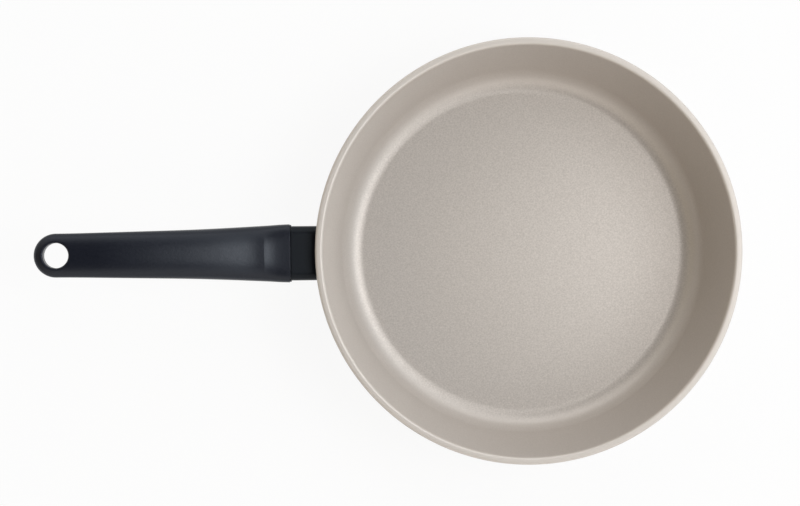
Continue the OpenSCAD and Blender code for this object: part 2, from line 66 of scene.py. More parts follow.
# Points of a finished piece nearer than WELD are one, and TINY is the least length that counts
WELD, TINY = 1e-4, 1e-5
# A millimetre in metres
MM = 0.001

# Steps of the round stretches
TURN_STEPS, CORNER_STEPS, RIM_IN_STEPS, RIM_OUT_STEPS, BEND_STEPS = 256, 20, 10, 12, 10
KEY_STEPS, HOLE_STEPS, PILOT_STEPS = 24, 48, 32
TOP_STEPS, SIDE_STEPS, LOW_STEPS, FRONT_STEPS = 48, 5, 38, 5

# The grip's tables, as shares
START = 0.01
RISE = [(0, 0), (START, START * GRIP_LEN * math.tan(NECK_TILT) / GRIP_RISE), (0.033, 0.021),
        (0.067, 0.046), (0.10, 0.074), (0.133, 0.109), (0.173, 0.158), (0.24, 0.247), (0.30, 0.330),
        (0.367, 0.422), (0.433, 0.511), (0.50, 0.597), (0.567, 0.678), (0.633, 0.751), (0.70, 0.818),
        (0.767, 0.875), (0.833, 0.923), (0.90, 0.961), (0.953, 0.984), (1, 1)]
WIDTH = [(0, 1), (0.047, 0.955), (0.09, 0.86), (0.135, 0.793), (0.2245, 0.65), (0.313, 0.52),
         (0.40, 0.408), (0.486, 0.324), (0.663, 0.192), (0.84, 0.07), (0.95, 0.01), (1, 0)]
TOP = [(0, 0.96), (0.027, 0.928), (0.053, 0.90), (0.08, 0.888), (0.121, 0.885), (0.173, 0.882),
       (0.227, 0.897), (0.28, 0.936), (0.32, 0.938), (0.368, 0.897), (0.432, 0.777), (0.513, 0.597),
       (0.60, 0.431), (0.683, 0.287), (0.766, 0.167), (0.853, 0.082), (0.92, 0.036), (1, 0)]
BELLY = [(0, 0.92), (0.1, 0.96), (0.25, 1), (0.40, 0.97), (0.5, 0.90), (0.65, 0.68), (0.8, 0.34),
         (0.92, 0.08), (1, 0)]
RIDGE = [(0, 0), (0.44, 0), (0.55, 0.02), (0.66, 0.10), (0.747, 0.227), (0.846, 0.453), (0.95, 0.82),
         (1, 1)]
THUMB = [(0, 1), (0.021, 0.91), (0.067, 0.69), (0.124, 0.42), (0.183, 0.225), (0.24, 0.12),
         (0.28, 0.095), (0.36, 0.15), (0.42, 0.19), (0.51, 0.205), (0.66, 0.15), (0.88, 0.02), (1, 0)]
# Exponents that square the sections, on top along the grip and below all along
SQUARE = [(0, 4.6), (0.03, 4.4), (0.08, 3.6), (0.13, 3.1), (0.25, 2.9), (0.50, 2.6), (0.80, 2.4), (1, 2.4)]
BELLY_SQUARE = 2.4


def table_at(table, at):
    """A smooth curve through the points of a table."""
    last = len(table) - 1
    i = 0
    while i < last - 1 and at > table[i + 1][0]:
        i += 1

    def slope(k):
        low, high = table[max(0, k - 1)], table[min(last, k + 1)]
        return (high[1] - low[1]) / (high[0] - low[0])

    run = table[i + 1][0] - table[i][0]
    t = max(0.0, min(1.0, (at - table[i][0]) / run))
    return (table[i][1] * (2 * t**3 - 3 * t**2 + 1) + slope(i) * run * (t**3 - 2 * t**2 + t)
            + table[i + 1][1] * (3 * t**2 - 2 * t**3) + slope(i + 1) * run * (t**3 - t**2))


# The pan's section
corner_c = (FLOOR_D / 2, BASE_T + CORNER_R)
rim_in_c = (PAN_D / 2 - RIM_W + RIM_IN_ROUND, PAN_H - RIM_IN_ROUND)
rim_out_c = (PAN_D / 2 - RIM_OUT_ROUND, PAN_H - RIM_FALL - RIM_OUT_ROUND)
span = (rim_in_c[0] - corner_c[0], rim_in_c[1] - corner_c[1])
LEAN = math.acos((CORNER_R + RIM_IN_ROUND) / math.hypot(*span)) - math.atan2(span[1], span[0])
wall_top = (rim_in_c[0] - RIM_IN_ROUND * math.cos(LEAN), rim_in_c[1] + RIM_IN_ROUND * math.sin(LEAN))


def wall_radius(depth, height):
    """Radius of a surface that lies a given depth inside the wall."""
    return wall_top[0] + (depth + (height - wall_top[1]) * math.sin(LEAN)) / math.cos(LEAN)


outer_low = DISC_STAND + OUTER_CORNER_R
outer_c = (wall_radius(WALL_T - OUTER_CORNER_R, outer_low), outer_low)
rim_low = PAN_H - RIM_BAND
rim_step = PAN_D / 2 - wall_radius(WALL_T, rim_low)
neck_z = PAN_H - NECK_DROP
neck_r = wall_radius(WALL_T, neck_z)
collar_x = neck_r + NECK_LEN * math.cos(NECK_TILT)
collar_z = neck_z + NECK_LEN * math.sin(NECK_TILT)
flange_face = BOSS_LEN + BRACKET_T


def arc(centre, radius, start, end, steps):
    """Points of an arc in the pan's section, angles in radians."""
    angles = [start + (end - start) * i / steps for i in range(steps + 1)]
    return [(centre[0] + radius * math.cos(a), centre[1] + radius * math.sin(a)) for a in angles]


# The grip's middle line and section sizes, sampled every GRID and PAD samples past both ends. The line
# eases in over EASE_IN and ends straight, its slope is taken over SLOPE_RUN, and the rest is the reach
# of each smoothing
GRID, PAD = 0.25, 80
STRAIGHT, EASE_IN, SLOPE_RUN = 19.0, 6.0, 0.5
SOFT_SLOPE, SOFT_WIDTH, SOFT_TOP, SOFT_BELLY = 4.5, 3.0, 2.5, 5.0
TAILS = 4
count = int(round(GRIP_LEN / GRID))
grid_s = np.array([GRIP_LEN * i / count for i in range(-PAD, count + PAD + 1)])


def smoothed(values, sigma):
    """Values blurred by a bell curve of the given spread in millimetres, cut off TAILS spreads away."""
    reach = int(TAILS * sigma / GRID)
    weights = np.exp(-0.5 * (np.arange(-reach, reach + 1) * GRID / sigma) ** 2)
    padded = np.pad(values, reach, mode="edge")
    return np.convolve(padded, weights / weights.sum(), mode="valid")


def sampled(table, sigma):
    """A table along the grip, which runs on straight before the collar and level behind the tail."""
    share = np.abs(grid_s / GRIP_LEN)
    share = np.where(share > 1, 2 - share, share)
    values = np.array([table_at(table, s) for s in share])
    return smoothed(np.where(grid_s < 0, 2 * table[0][1] - values, values), sigma)


def smooth_step(low, high, values):
    """0 up to low, 1 from high on, and a soft rise between."""
    t = np.clip((values - low) / (high - low), 0, 1)
    return t * t * (3 - 2 * t)


def table_slope(s):
    """The rise table's slope over the last SLOPE_RUN before s, and the neck's before the collar."""
    if s <= 0:
        return math.tan(NECK_TILT)
    high = min(1, s / GRIP_LEN)
    low = max(0, s / GRIP_LEN - SLOPE_RUN / GRIP_LEN)
    return GRIP_RISE / GRIP_LEN * (table_at(RISE, high) - table_at(RISE, low)) / (high - low)


def middle_line():
    """Slope and height of the grip's middle line at every sample."""
    bent = GRIP_LEN - STRAIGHT
    slope = smoothed(np.array([table_slope(s) for s in np.minimum(grid_s, GRIP_LEN)]), SOFT_SLOPE)
    inside = (grid_s >= 0) & (grid_s <= GRIP_LEN)
    end = float(slope[(grid_s > bent) & inside].mean())
    mix = smooth_step(GRIP_LEN - 2 * STRAIGHT, bent, grid_s)
    slope = slope * (1 - mix) + end * mix
    mix = smooth_step(0, EASE_IN, grid_s)
    slope = math.tan(NECK_TILT) * (1 - mix) + slope * mix
    bump = np.where(inside, np.sin(math.pi * np.clip(grid_s, 0, bent) / bent) ** 2, 0)
    cell = GRIP_LEN / count

    def rise(g):
        return np.concatenate([[0], np.cumsum((g[1:] + g[:-1]) / 2 * cell)])

    def at_ends(z):
        return z[PAD + count] - z[PAD]

    # A soft bump in the slope makes up what the rise lacks
    slope = slope + bump * (GRIP_RISE - at_ends(rise(slope))) / at_ends(rise(bump))
    z = rise(slope)
    return slope, z - z[PAD]


grid_slope, grid_rise = middle_line()
grid_half = (TAIL_D + (COLLAR_W - TAIL_D) * sampled(WIDTH, SOFT_WIDTH)) / 2
grid_top = TAIL_T / 2 + (CROWN_H - TAIL_T / 2) * sampled(TOP, SOFT_TOP)
grid_belly = TAIL_T / 2 + (BELLY_H - TAIL_T / 2) * sampled(BELLY, SOFT_BELLY)


def along(values, s):
    """A sampled value at a place along the grip."""
    return float(np.interp(s, grid_s, values))


def tilt_at(s):
    """Angle of the middle line over the level."""
    return NECK_TILT if s <= 0 else math.atan(along(grid_slope, s))


def grip_point(s, y, h):
    """World place, in millimetres, of a point in the grip's section at s."""
    tilt = tilt_at(s)
    x = collar_x + (s * math.cos(NECK_TILT) if s < 0 else s)
    z = collar_z + (s * math.sin(NECK_TILT) if s < 0 else along(grid_rise, s))
    return Vector((-(x - h * math.sin(tilt)), -y, z + h * math.cos(tilt)))


def thumb_rise(s, y):
    """Height of the thumb rest and its ridge over the plain section."""
    if s < RIDGE_AT:
        middle = RIDGE_H * table_at(RIDGE, max(0.0, s) / RIDGE_AT)
    else:
        middle = RIDGE_H * table_at(THUMB, min(1.0, (s - RIDGE_AT) / THUMB_LEN))
    return middle * (1 - min(1.0, (2 * y / THUMB_W) ** 2)) ** 2


def power(value, exponent):
    """A power of a value's size that keeps its sign."""
    return math.copysign(abs(value) ** exponent, value)


def top_half(s, steps):
    """The upper half of a section, from one side over the top to the other."""
    square = table_at(SQUARE, max(0.0, min(1.0, s / GRIP_LEN)))
    half, top = along(grid_half, s), along(grid_top, s)
    pairs = []
    for i in range(steps + 1):
        a = math.pi * i / steps
        y = half * power(math.cos(a), 2 / square)
        pairs.append((y, top * abs(math.sin(a)) ** (2 / square) + thumb_rise(s, y)))
    return pairs


def belly_width(s, h):
    """Half the section's width at a depth under its middle line."""
    belly = along(grid_belly, s)
    return along(grid_half, s) * max(0.0, 1 - (abs(h) / belly) ** BELLY_SQUARE) ** (1 / BELLY_SQUARE)


def belly_arc(s, drop, steps):
    """The lower part of a section under a given drop, from the far side round to the near one."""
    half, belly = along(grid_half, s), along(grid_belly, s)
    start = math.asin((drop / belly) ** (BELLY_SQUARE / 2))
    pairs = []
    for i in range(steps + 1):
        a = math.pi - start - (math.pi - 2 * start) * i / steps
        y = half * power(math.cos(a), 2 / BELLY_SQUARE)
        pairs.append((y, -belly * math.sin(a) ** (2 / BELLY_SQUARE)))
    return pairs


# Meshes, built in millimetres and scaled at the end
def new_object(name, points, faces):
    """An object from points and faces, with doubled points joined and all faces turned outwards."""
    mesh = bpy.data.meshes.new(name)
    mesh.from_pydata([tuple(p) for p in points], [], faces)
    mesh.validate()
    work = bmesh.new()
    work.from_mesh(mesh)
    bmesh.ops.remove_doubles(work, verts=work.verts, dist=TINY)
    bmesh.ops.recalc_face_normals(work, faces=work.faces)
    work.to_mesh(mesh)
    work.free()
    made = bpy.data.objects.new(name, mesh)
    bpy.context.scene.collection.objects.link(made)
    return made


def boolean(target, tool, operation):
    """Joins or cuts target with tool, and removes the tool."""
    modifier = target.modifiers.new("boolean", "BOOLEAN")
    modifier.operation = operation
    modifier.solver = "EXACT"
    modifier.object = tool
    graph = bpy.context.evaluated_depsgraph_get()
    mesh = bpy.data.meshes.new_from_object(target.evaluated_get(graph))
    target.modifiers.clear()
    old = target.data
    target.data = mesh
    bpy.data.meshes.remove(old)
    old = tool.data
    bpy.data.objects.remove(tool)
    bpy.data.meshes.remove(old)
    return target


def prism_faces(n, start=0):
    """Ends and sides of a prism whose two rings of n points follow one another from start."""
    first, second = start, start + n
    faces = [list(range(first, second)), list(range(second + n - 1, second - 1, -1))]
    return faces + [[first + i, first + (i + 1) % n, second + (i + 1) % n, second + i] for i in range(n)]


def prism(matrix, outline, low, high, name="tool"):
    """An outline in a frame's YZ plane, swept along its X."""
    points = [matrix @ Vector((x, y, z)) for x in (low, high) for y, z in outline]
    return new_object(name, points, prism_faces(len(outline)))


def upright(matrix, outline, low, high):
    """An outline in a frame's XY plane, swept along its Z."""
    points = [matrix @ Vector((x, y, z)) for z in (low, high) for x, y in outline]
    return new_object("tool", points, prism_faces(len(outline)))


def circle(diameter, steps, middle=(0.0, 0.0)):
    """Points round a circle."""
    return [(middle[0] + diameter / 2 * math.cos(2 * math.pi * i / steps),
             middle[1] + diameter / 2 * math.sin(2 * math.pi * i / steps)) for i in range(steps)]


def rounded(width, height, radius):
    """A rectangle about the origin with rounded corners."""
    outline = []
    for k, (sy, sz) in enumerate(((1, 1), (-1, 1), (-1, -1), (1, -1))):
        middle = (sy * (width / 2 - radius), sz * (height / 2 - radius))
        outline += arc(middle, radius, k * math.pi / 2, (k + 1) * math.pi / 2, BEND_STEPS)
    return outline


def rectangle(low, high):
    """A rectangle from its lowest and highest corner."""
    return [(low[0], low[1]), (high[0], low[1]), (high[0], high[1]), (low[0], high[1])]


def revolve(name, profile, segments):
    """A profile of radius and height turned about Z. It starts and ends on the axis."""
    points, rings = [], []
    for r, z in profile:
        if r == 0:
            rings.append([len(points)])
            points.append((0, 0, z))
        else:
            rings.append(list(range(len(points), len(points) + segments)))
            points += [(x, y, z) for x, y in circle(2 * r, segments)]
    faces = []
    for a, b in zip(rings, rings[1:]):
        for i in range(segments):
            j = (i + 1) % segments
            if len(a) == 1:
                faces.append((a[0], b[j], b[i]))
            elif len(b) == 1:
                faces.append((a[i], a[j], b[0]))
            else:
                faces.append((a[i], a[j], b[j], b[i]))
    return new_object(name, points, faces)


# Frames of the neck, of the bracket's tongue and of the clamp screw, the handle along -X
turn = Matrix.Rotation(math.pi, 4, "Z")
neck = turn @ Matrix.Translation((neck_r, 0, neck_z)) @ Matrix.Rotation(-NECK_TILT, 4, "Y")
flange_at = Vector((neck_r + flange_face * math.cos(NECK_TILT), 0,
                    neck_z + flange_face * math.sin(NECK_TILT)))
reach_at = turn @ grip_point(TONGUE_REACH, 0, 0)
tongue_span = reach_at - flange_at
tongue_tilt = math.atan2(tongue_span.z, tongue_span.x)
tongue_len = tongue_span.length
tongue = turn @ Matrix.Translation(flange_at) @ Matrix.Rotation(-tongue_tilt, 4, "Y")
clamp = tongue @ Matrix.Translation((tongue_len - CLAMP_EDGE, 0, 0))


def grip_matrix(s):
    """Frame of the grip's section at s."""
    return Matrix.Translation(grip_point(s, 0, 0)) @ turn @ Matrix.Rotation(-tilt_at(s), 4, "Y")


def build_pan_body():
    """The turned pan, the pips that hold the disc, and the boss with its two screw holes."""
    seat_r = DISC_D / 2 + THREAD_GAP
    profile = [(0, BASE_T), (FLOOR_D / 6, BASE_T), (FLOOR_D / 3, BASE_T)]
    profile += arc(corner_c, CORNER_R, -math.pi / 2, -LEAN, CORNER_STEPS)
    low, high = profile[-1], wall_top
    profile += [(low[0] + (high[0] - low[0]) * t, low[1] + (high[1] - low[1]) * t)
                for t in (0.25, 0.5, 0.75)]
    profile += arc(rim_in_c, RIM_IN_ROUND, math.pi - LEAN, math.pi / 2, RIM_IN_STEPS)
    profile += arc(rim_out_c, RIM_OUT_ROUND, math.pi / 2, 0, RIM_OUT_STEPS)
    profile += [(PAN_D / 2, rim_low), (wall_radius(WALL_T, rim_low - rim_step), rim_low - rim_step)]
    profile += arc(outer_c, OUTER_CORNER_R, -LEAN, -math.pi / 2, CORNER_STEPS)
    profile += [(seat_r, DISC_STAND), (seat_r, DISC_T), (0, DISC_T)]
    body = revolve("pan_body_cast", profile, TURN_STEPS)
    points, faces = [], []
    for ring in range(KEY_RINGS):
        around = KEY_COUNT * (ring + 1)
        reach = DISC_D / 2 - KEY_EDGE - (KEY_RINGS - 1 - ring) * KEY_RING_STEP
        for i in range(around):
            a = 2 * math.pi * i / around
            outline = circle(KEY_D - 2 * THREAD_GAP, KEY_STEPS, (reach * math.cos(a), reach * math.sin(a)))
            faces += prism_faces(KEY_STEPS, len(points))
            points += [(x, y, z) for z in (DISC_STAND / 2, DISC_T + OVER) for x, y in outline]
    boolean(body, new_object("tool", points, faces), "UNION")
    boss = prism(neck, rounded(BOSS_W, BOSS_H, BOSS_R), -BOSS_H, BOSS_LEN, "boss")
    low = outer_c[1]
    cone = revolve("tool", [(0, low), (wall_radius(WALL_T / 2, low), low),
                            (wall_radius(WALL_T / 2, PAN_H), PAN_H), (0, PAN_H)], TURN_STEPS)
    boolean(boss, cone, "DIFFERENCE")
    boolean(body, boss, "UNION")
    for side in (-1, 1):
        hole = circle(SCREW_D + 2 * THREAD_GAP, HOLE_STEPS, (side * SCREW_SPREAD, 0))
        boolean(body, prism(neck, hole, flange_face + WASHER_T - SCREW_LEN - THREAD_GAP, BOSS_LEN + OVER),
                "DIFFERENCE")
    return body


# The shells' rings: a rounded front edge, close spacing within RIDGE_ZONE of the ridge, one ring right on
# the ridge, and none nearer than SHORTEST to the last one
FRONT_ROUND = 0.15
CLOSE, WIDE, RIDGE_ZONE, SNAP, SHORTEST = 0.35, 1.2, 9.0, 0.2, 0.3


def stations(start, end):
    """Places along the grip, closer together round the thumb rest's ridge."""
    places, s = [start], start
    while s < end - TINY:
        near = abs(s - RIDGE_AT) < RIDGE_ZONE
        s = min(end, s + (CLOSE if near else WIDE))
        if near and abs(s - RIDGE_AT) < SNAP:
            s = RIDGE_AT
        places.append(s)
    if len(places) > 2 and places[-1] - places[-2] < SHORTEST:
        places.pop(-2)
    return places


def rounded_front(pairs, s, inset):
    """A section drawn in a little on every side, for a rounded front edge."""
    half, tall = along(grid_half, s), along(grid_top, s)
    return [(y * (1 - inset / half), h * (1 - inset / tall)) for y, h in pairs]


def skin(rings, faces):
    """Joins rings of equal length, each closed."""
    for a, b in zip(rings, rings[1:]):
        n = len(a)
        faces += [(a[i], a[(i + 1) % n], b[(i + 1) % n], b[i]) for i in range(n)]


def add_ring(points, s, pairs):
    """Adds a section's points and returns their numbers."""
    start = len(points)
    points += [grip_point(s, y, h) for y, h in pairs]
    return list(range(start, start + len(pairs)))


def side_heights(joint):
    """Heights of the points down a side, from under the middle line to the joint."""
    return [-joint * (i + 1) / SIDE_STEPS for i in range(SIDE_STEPS)]


def upper_section(s, joint):
    """Top half and the sides down to the joint."""
    sides = side_heights(joint)
    pairs = top_half(s, TOP_STEPS)
    pairs += [(-belly_width(s, h), h) for h in sides]
    return pairs, [(belly_width(s, h), h) for h in reversed(sides)]


def build_upper_shell():
    """The upper shell as a full body. Its front half ends at the joint, its tail is whole."""
    joint = PART_DROP - SLIDE_GAP
    points, faces, rings = [], [], []
    left, right = upper_section(0.0, joint)
    for i in range(FRONT_STEPS):
        a = math.pi / 2 * i / FRONT_STEPS
        rings.append(add_ring(points, FRONT_ROUND * (1 - math.cos(a)),
                              rounded_front(left + right, 0.0, FRONT_ROUND * (1 - math.sin(a)))))
    for s in stations(FRONT_ROUND, LOWER_LEN + SLIDE_GAP):
        left, right = upper_section(s, joint)
        rings.append(add_ring(points, s, left + right))
    skin(rings, faces)
    faces.append(list(rings[0]))
    # Behind the lower shell the section is whole
    step_ring = rings[-1]
    split = TOP_STEPS + 1 + SIDE_STEPS
    front = GRIP_LEN - STRAIGHT + TAIL_LEAD
    full = None
    for s in stations(LOWER_LEN + SLIDE_GAP, front):
        left, right = upper_section(s, joint)
        low = belly_arc(s, joint, LOW_STEPS)[1:-1]
        if full is None:
            inner = add_ring(points, s, low)
            full = step_ring[:split] + inner + step_ring[split:]
            faces.append([step_ring[split - 1]] + inner + [step_ring[split]])
        else:
            ring = add_ring(points, s, left + low + right)
            skin([full, ring], faces)
            full = ring
    add_tail(points, faces, full, front, joint)
    return new_object("handle_upper_shell", points, faces)


# Where the tail's own mesh starts behind the straight's beginning, how its rays' points crowd towards the
# face's edge, how far the handles of the hole's rounding reach, and the step that measures a face's slope
TAIL_LEAD = 2.0
RAY_CROWD = 2.2
FACE_PULL, HOLE_PULL, PROBE = 0.6, 0.55, 0.01


def tail_point(u, y, h):
    """World place of a point in the tail's own frame, u running away from the pan."""
    tilt = tilt_at(GRIP_LEN)
    x = collar_x + GRIP_LEN + u * math.cos(tilt) - h * math.sin(tilt)
    z = collar_z + along(grid_rise, GRIP_LEN) + u * math.sin(tilt) + h * math.cos(tilt)
    return Vector((-x, -y, z))


def tail_height(u, y, sign):
    """Height of the tail's upper or lower face, over or under its middle plane."""
    s = GRIP_LEN + min(0.0, u) * math.cos(tilt_at(GRIP_LEN))
    square = table_at(SQUARE, s / GRIP_LEN) if sign > 0 else BELLY_SQUARE
    tall = along(grid_top if sign > 0 else grid_belly, s)
    share = min(1.0, (math.hypot(u, y) if u > 0 else abs(y)) / along(grid_half, s))
    return sign * tall * (1 - share**square) ** (1 / square)


def hole_edge(angle, sign):
    """Radii and heights down the hole's rounding, which leaves the face along its slope."""
    steps = 9
    hole_r, fillet_r = HANG_D / 2, HANG_D / 2 + HANG_ROUND
    square = table_at(SQUARE, 1.0)
    straight = TAIL_T / 2 * (1 - (HANG_D / TAIL_D) ** square) ** (1 / square) - HANG_ROUND
    u, y = fillet_r * math.cos(angle), fillet_r * math.sin(angle)
    high = tail_height(u, y, sign)
    near = tail_height(u * (1 - PROBE), y * (1 - PROBE), sign)
    lean = (near - high) / (fillet_r * PROBE)
    bend = [(fillet_r, high), (fillet_r - FACE_PULL * HANG_ROUND, high + lean * FACE_PULL * HANG_ROUND),
            (hole_r, sign * (straight + HOLE_PULL * HANG_ROUND)), (hole_r, sign * straight)]
    pairs = []
    for k in range(1, steps + 1):
        t = k / steps
        weights = ((1 - t) ** 3, 3 * t * (1 - t) ** 2, 3 * t * t * (1 - t), t**3)
        pairs.append([sum(w * b[i] for w, b in zip(weights, bend)) for i in (0, 1)])
    return pairs


def add_tail(points, faces, ring, front, joint):
    """The tail round its hanging hole. Each ray runs from the edge of the tail's face to the hole."""
    lead = (GRIP_LEN - front) / math.cos(tilt_at(GRIP_LEN))
    side_steps, back_steps, ray_steps = 24, 96, 18
    fillet_r = HANG_D / 2 + HANG_ROUND

    def half_at(u):
        return along(grid_half, GRIP_LEN + min(0.0, u) * math.cos(tilt_at(GRIP_LEN)))

    # Angle of each ray at the hole: over the pan's side from corner to corner, along one side, round the
    # back and along the other side
    corner, across, beside, behind = 135, 90, 45, 180
    turns = [corner + across * k / TOP_STEPS for k in range(TOP_STEPS + 1)]
    turns += [corner + across + beside * k / side_steps for k in range(1, side_steps + 1)]
    turns += [corner + across + beside + behind * k / back_steps for k in range(1, back_steps)]
    turns += [corner - beside + beside * k / side_steps for k in range(side_steps)]
    turns = [math.radians(a) for a in turns]
    edge = [(-lead * (1 - k / side_steps), -half_at(-lead * (1 - k / side_steps)))
            for k in range(1, side_steps + 1)]
    radius = half_at(0)
    edge += [(radius * math.cos(a), radius * math.sin(a))
             for a in turns[TOP_STEPS + side_steps + 1:-side_steps]]
    edge += [(-lead * k / side_steps, half_at(-lead * k / side_steps)) for k in range(side_steps)]
    start = len(points)
    points += [tail_point(u, y, 0) for u, y in edge]
    edge_numbers = list(range(start, len(points)))
    walls = []
    for sign in (1, -1):
        if sign > 0:
            widths = [y for y, _ in top_half(front, TOP_STEPS)]
            numbers = ring[:TOP_STEPS + 1]
        else:
            sides = [along(grid_half, front)] + [belly_width(front, h) for h in side_heights(joint)]
            middle = [-y for y, _ in belly_arc(front, joint, LOW_STEPS)[1:-1]]
            widths = sides + middle + [-w for w in reversed(sides)]
            numbers = [ring[0]] + ring[:TOP_STEPS - 1:-1]
        columns = []
        for (u, y), number, a in zip([(-lead, y) for y in widths] + edge, numbers + edge_numbers, turns):
            column = [number]
            inner_u, inner_y = fillet_r * math.cos(a), fillet_r * math.sin(a)
            for k in range(1, ray_steps + 1):
                t = (k / ray_steps) ** RAY_CROWD
                at_u, at_y = u + (inner_u - u) * t, y + (inner_y - y) * t
                column.append(len(points))
                points.append(tail_point(at_u, at_y, tail_height(at_u, at_y, sign)))
            for r, h in hole_edge(a, sign):
                column.append(len(points))
                points.append(tail_point(r * math.cos(a), r * math.sin(a), h))
            columns.append(column)
        n = len(columns)
        for i in range(n):
            a, b = columns[i], columns[(i + 1) % n]
            faces += [(a[k], a[k + 1], b[k + 1], b[k]) for k in range(len(a) - 1)]
        walls.append([c[-1] for c in columns])
    n = len(walls[0])
    faces += [(walls[0][i], walls[0][(i + 1) % n], walls[1][(i + 1) % n], walls[1][i]) for i in range(n)]


def build_lower_shell():
    """The lower shell as a full body, with its lip under the sleeve."""
    steps = LOW_STEPS + 2 * SIDE_STEPS
    half, tall = along(grid_half, 0.0), along(grid_belly, 0.0)
    points, faces, rings = [], [], []
    section = belly_arc(0.0, PART_DROP, steps)
    for i in range(FRONT_STEPS):
        a = math.pi / 2 * i / FRONT_STEPS
        inset = FRONT_ROUND * (1 - math.sin(a))
        pairs = [(y * (1 - inset / half), h + inset * (-h - PART_DROP) / (tall - PART_DROP))
                 for y, h in section]
        rings.append(add_ring(points, FRONT_ROUND * (1 - math.cos(a)) - LIP_LEN, pairs))
    for s in stations(FRONT_ROUND - LIP_LEN, LOWER_LEN):
        rings.append(add_ring(points, s, belly_arc(s, PART_DROP, steps)))
    skin(rings, faces)
    faces.append(list(rings[0]))
    faces.append(list(rings[-1]))
    return new_object("handle_lower_shell", points, faces)


def build_handle_upper():
    """The upper shell with its spigot, the slot for the tongue, the insert's seat and the screw's hole."""
    shell = build_upper_shell()
    gap = 2 * GUARD_T + 2 * SLIDE_GAP
    spigot = prism(neck, rounded(GUARD_W - gap, GUARD_H - gap, GUARD_R - GUARD_T - SLIDE_GAP),
                   NECK_LEN - SPIGOT_LEN, NECK_LEN + OVER, "spigot")
    low = rectangle((-COLLAR_W, -BELLY_H - PART_DROP + SLIDE_GAP), (COLLAR_W, -PART_DROP + SLIDE_GAP))
    boolean(spigot, prism(neck, low, NECK_LEN, NECK_LEN + 2 * OVER), "DIFFERENCE")
    boolean(shell, spigot, "UNION")
    slot_w, slot_top = TONGUE_W + 2 * SLIDE_GAP, BRACKET_T / 2 + SLIDE_GAP
    slot = prism(tongue, rectangle((-slot_w / 2, -2 * BELLY_H), (slot_w / 2, slot_top)),
                 0, tongue_len + SLIDE_GAP)
    behind = prism(neck, rectangle((-slot_w, -2 * GRIP_RISE), (slot_w, 2 * GRIP_RISE)),
                   NECK_LEN, NECK_LEN + 2 * TONGUE_REACH)
    boolean(shell, boolean(slot, behind, "INTERSECT"), "DIFFERENCE")
    # The window is a hair smaller than the slot, so that no two cuts share a face
    window = rectangle((HAIR - slot_w / 2, HAIR - slot_top), (slot_w / 2 - HAIR, slot_top - HAIR))
    boolean(shell, prism(tongue, window, 0, tongue_len / 2), "DIFFERENCE")
    seat = circle(INSERT_D + 2 * THREAD_GAP, HOLE_STEPS)
    boolean(shell, upright(clamp, seat, 0, slot_top + INSERT_LEN + SLIDE_GAP), "DIFFERENCE")
    pilot = circle(TAIL_SCREW_D + 2 * THREAD_GAP, PILOT_STEPS)
    deep = TAIL_SCREW_LEN - TAIL_SEAT + OVER
    boolean(shell, upright(grip_matrix(TAIL_SCREW_AT), pilot, -TAIL_SEAT, deep), "DIFFERENCE")
    return shell


def build_handle_lower():
    """The lower shell with the land under the tongue, room for the sleeve and both screws' holes."""
    shell = build_lower_shell()
    land = prism(tongue, rectangle((-TONGUE_W / 2, -PART_DROP - 2 * BRACKET_T),
                                   (TONGUE_W / 2, -BRACKET_T / 2 - SLIDE_GAP)), 0, tongue_len)
    behind = prism(neck, rectangle((-TONGUE_W, -2 * GRIP_RISE), (TONGUE_W, 2 * GRIP_RISE)),
                   NECK_LEN + SLIDE_GAP, NECK_LEN + 2 * TONGUE_REACH)
    boolean(shell, boolean(land, behind, "INTERSECT"), "UNION")
    room = rounded(GUARD_W + 2 * SLIDE_GAP, GUARD_H + 2 * SLIDE_GAP, GUARD_R + SLIDE_GAP)
    boolean(shell, prism(neck, room, NECK_LEN - 2 * LIP_LEN - OVER, NECK_LEN), "DIFFERENCE")
    for matrix, shank, head, seat in ((clamp, CLAMP_D, CLAMP_WASHER_D, CLAMP_SEAT),
                                      (grip_matrix(TAIL_SCREW_AT), TAIL_SCREW_D, TAIL_HEAD_D, TAIL_SEAT)):
        for width, high in ((shank, OVER), (head, -seat)):
            hole = circle(width + 2 * SCREW_GAP, HOLE_STEPS)
            boolean(shell, upright(matrix, hole, -2 * BELLY_H, high), "DIFFERENCE")
    return shell


SHARP_ANGLE = math.radians(30.0)


def finish_piece(piece, name, node, material):
    """Scales a piece to metres, cleans and shades it, hides its CAD node and hangs it under the root body.
    """
    piece.name = name
    piece.data.name = name
    work = bmesh.new()
    work.from_mesh(piece.data)
    bmesh.ops.remove_doubles(work, verts=work.verts, dist=WELD)
    bmesh.ops.dissolve_degenerate(work, edges=work.edges, dist=TINY)
    bmesh.ops.recalc_face_normals(work, faces=work.faces)
    bmesh.ops.scale(work, vec=(MM, MM, MM), verts=work.verts)
    for face in work.faces:
        face.smooth = True
    work.to_mesh(piece.data)
    work.free()
    piece.data.set_sharp_from_angle(angle=SHARP_ANGLE)
    piece.data.materials.clear()
    piece.data.materials.append(material)
    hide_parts(node)
    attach(piece, "root")


def add_node(tree, kind, inputs=None, **settings):
    """A shader node with its settings made and its inputs set or linked."""
    node = tree.nodes.new(kind)
    for key, value in settings.items():
        setattr(node, key, value)
    for key, value in (inputs or {}).items():
        if isinstance(value, bpy.types.NodeSocket):
            tree.links.new(value, node.inputs[key])
        else:
            node.inputs[key].default_value = value
    return node


